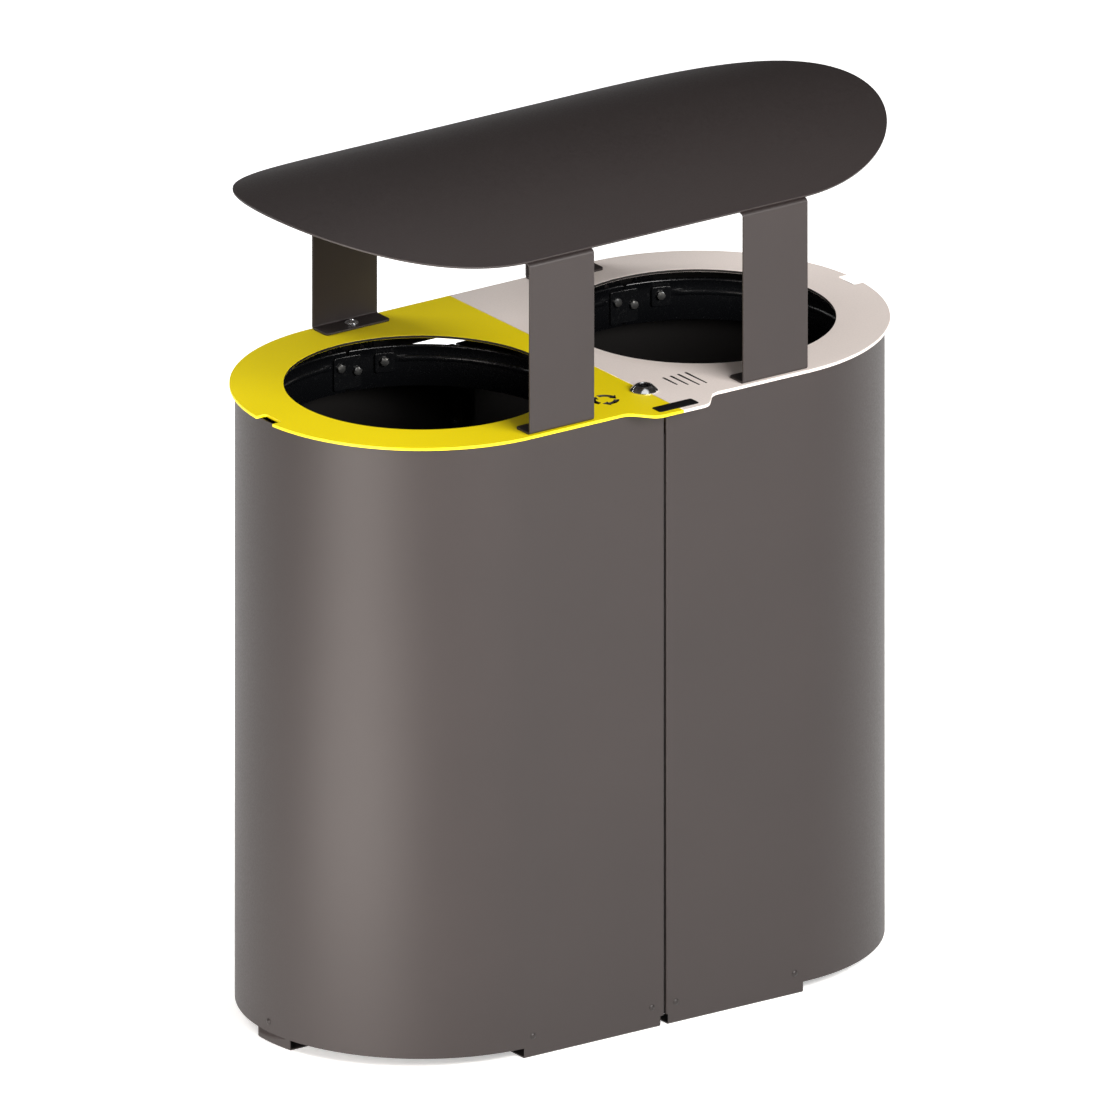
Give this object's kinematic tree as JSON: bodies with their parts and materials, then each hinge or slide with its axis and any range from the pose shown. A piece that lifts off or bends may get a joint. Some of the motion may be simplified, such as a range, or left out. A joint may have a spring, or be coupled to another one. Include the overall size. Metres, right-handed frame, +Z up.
{
  "type": "double recycling bin",
  "caption": "Free-standing oval litter and recycling bin with two round waste openings in coloured lids, bag rings inside, and a rolled rain canopy on four stanchions.",
  "frame": {"origin": "centre of the four ground bolt holes, on the ground plane under the feet", "axes": "+Z up; +X along the length, from the yellow lid towards the pale one; +Y from the front, where the lifting lip and the lock are, towards the hinges at the back"},
  "size_m": [0.9188, 0.5225, 1.123],
  "materials": {
    "anthracite": "fine-textured satin powder coat, dark warm grey",
    "yellow": "satin powder coat, yellow",
    "pale_grey": "satin powder coat, warm off-white",
    "inner_steel": "satin dark paint inside the body",
    "ring_black": "semi-gloss black paint",
    "elastic": "matt black elastic",
    "bright_screw": "bright plated steel",
    "zinc": "zinc-plated steel",
    "lock_plating": "satin nickel plating",
    "lock_steel": "dull machined steel",
    "plate_black": "matt black plate"
  },
  "bodies": {
    "body": {"left_shell": "anthracite", "right_shell": "anthracite", "base_pan": "inner_steel", "front_seam_bar": "inner_steel", "rear_seam_bar": "inner_steel", "seam_bolts": "zinc", "shell_rivets": "anthracite", "keeper": "zinc", "keeper_bolt": "zinc", "left_bag_ring": "ring_black", "right_bag_ring": "ring_black", "left_bag_strap": "elastic", "right_bag_strap": "elastic", "ring_brackets": "ring_black", "ring_clamp_plates": "ring_black", "ring_bolts": "zinc", "bracket_rivets": "anthracite", "body_hinge_leaves": "inner_steel", "hinge_pins": "bright_screw", "hinge_rivets": "anthracite"},
    "lid": {"left_lid": "yellow", "right_lid": "pale_grey", "lid_strap": "inner_steel", "strap_nuts": "zinc", "front_left_stanchion": "anthracite", "front_right_stanchion": "anthracite", "rear_left_stanchion": "anthracite", "rear_right_stanchion": "anthracite", "foot_screws": "bright_screw", "foot_nuts": "zinc", "canopy": "anthracite", "canopy_studs": "zinc", "canopy_nuts": "zinc", "nameplate": "plate_black", "lock_housing": "lock_plating", "lock_nut": "zinc", "lid_hinge_leaves": "inner_steel", "hinge_nuts": "zinc"},
    "lock": {"lock_core": "lock_steel", "lock_cam": "zinc", "cam_screw": "zinc"}
  },
  "joints": [
    {"name": "lid_tilt", "type": "hinge", "parent": "body", "child": "lid", "pos_m": [0, 0.2415, 0.8355], "axis": [-1, 0, 0], "range_deg": [0, 80]},
    {"name": "lock_turn", "type": "hinge", "parent": "lid", "child": "lock", "pos_m": [0, -0.187, 0.83], "axis": [0, 0, -1], "range_deg": [0, 90]}
  ]
}
